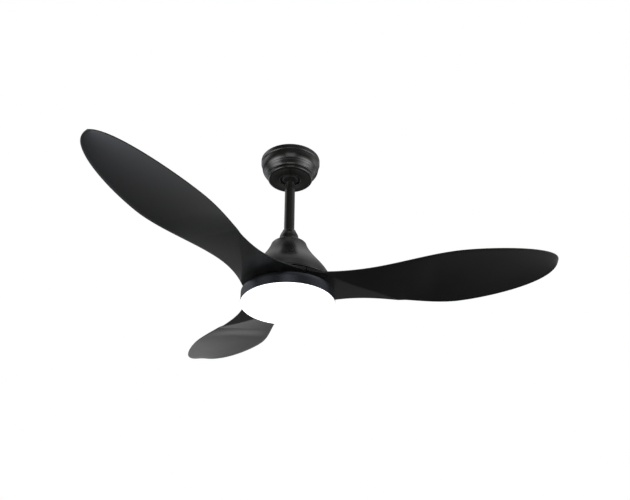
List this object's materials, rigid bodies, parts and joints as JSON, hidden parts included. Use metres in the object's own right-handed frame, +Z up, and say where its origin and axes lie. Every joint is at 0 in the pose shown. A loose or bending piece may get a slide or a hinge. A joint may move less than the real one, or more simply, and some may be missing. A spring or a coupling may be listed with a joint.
{
  "type": "ceiling fan with light",
  "caption": "Ceiling fan on a short downrod, with broad swept blades, a bell-shaped motor housing, a round canopy and a drum LED light with an opal diffuser.",
  "frame": {"origin": "on the fan's axis, in the plane of the ceiling, midway between the bracket's two screw slots", "axes": "+Z up into the ceiling, along the axis that the blades turn about; +X along the line of the two screw slots; the bracket's throat opens towards -Y"},
  "size_m": [1.0665, 1.1511, 0.4483],
  "materials": {
    "zinc_steel": "zinc-plated pressed steel",
    "bracket_steel": "black-coated pressed steel",
    "black_metal": "satin black paint",
    "cap_metal": "satin black paint",
    "ring_metal": "satin dark grey paint",
    "blade_plastic": "fine-grained matte black ABS",
    "opal_plastic": "opal white acrylic",
    "cast_iron": "black-coated cast iron",
    "ball_metal": "cast ball, phosphated",
    "bright_steel": "ground steel",
    "screw_steel": "zinc-plated screws",
    "black_screw": "black-oxide screws",
    "lamination": "stacked silicon-steel laminations",
    "copper": "enamelled copper wire",
    "magnet": "ferrite",
    "rotor_alloy": "die-cast aluminium",
    "nylon": "natural nylon",
    "white_case": "white moulded plastic",
    "wire_sleeve": "PVC wire insulation",
    "brass_nut": "plain brass",
    "led_board": "white-masked aluminium board",
    "led_chip": "phosphor-coated LED packages",
    "washer_rubber": "soft black rubber"
  },
  "bodies": {
    "ceiling_mount": {"hanging_bracket": "bracket_steel", "canopy": "black_metal", "canopy_cap": "cap_metal", "canopy_screws": "black_screw", "receiver_box": "white_case"},
    "hanger": {"hanger_ball": "ball_metal", "ball_pin": "bright_steel", "ball_set_screw": "black_screw", "downrod": "black_metal", "rod_wires": "wire_sleeve", "motor_yoke": "cast_iron", "yoke_clevis_pin": "bright_steel", "yoke_clip": "bright_steel", "yoke_set_screws": "black_screw", "coupling_cover": "black_metal", "motor_housing": "black_metal", "housing_screws": "screw_steel", "motor_shaft": "bright_steel", "shaft_snap_ring": "black_screw", "stator_hub": "nylon", "stator_core": "lamination", "stator_windings": "copper", "lower_bearing_inner": "bright_steel", "upper_bearing_inner": "bright_steel", "light_bracket": "zinc_steel", "shaft_locknut": "brass_nut", "light_pan": "ring_metal", "light_pan_screws": "screw_steel", "led_driver": "white_case", "driver_screws": "screw_steel", "led_board": "led_board", "led_chips": "led_chip", "board_screws": "screw_steel"},
    "rotor": {"rotor_bottom": "rotor_alloy", "rotor_top": "rotor_alloy", "rotor_magnets": "magnet", "rotor_screws": "screw_steel", "lower_bearing_outer": "bright_steel", "upper_bearing_outer": "bright_steel", "lower_bearing_balls": "bright_steel", "upper_bearing_balls": "bright_steel", "blade_1": "blade_plastic", "blade_2": "blade_plastic", "blade_3": "blade_plastic", "blade_screws": "black_screw", "blade_washers": "washer_rubber"},
    "diffuser_cover": {"diffuser": "opal_plastic"}
  },
  "joints": [
    {"name": "hanger_tilt", "type": "hinge", "parent": "ceiling_mount", "child": "hanger", "pos_m": [0, 0, -0.038], "axis": [1, 0, 0], "range_deg": [-15, 15]},
    {"name": "rotor_spin", "type": "hinge", "parent": "hanger", "child": "rotor", "pos_m": [0, 0, -0.357], "axis": [0, 0, 1], "continuous": true},
    {"name": "diffuser_twist", "type": "hinge", "parent": "hanger", "child": "diffuser_cover", "pos_m": [0, 0, -0.426], "axis": [0, 0, 1], "range_deg": [-18, 0]}
  ]
}
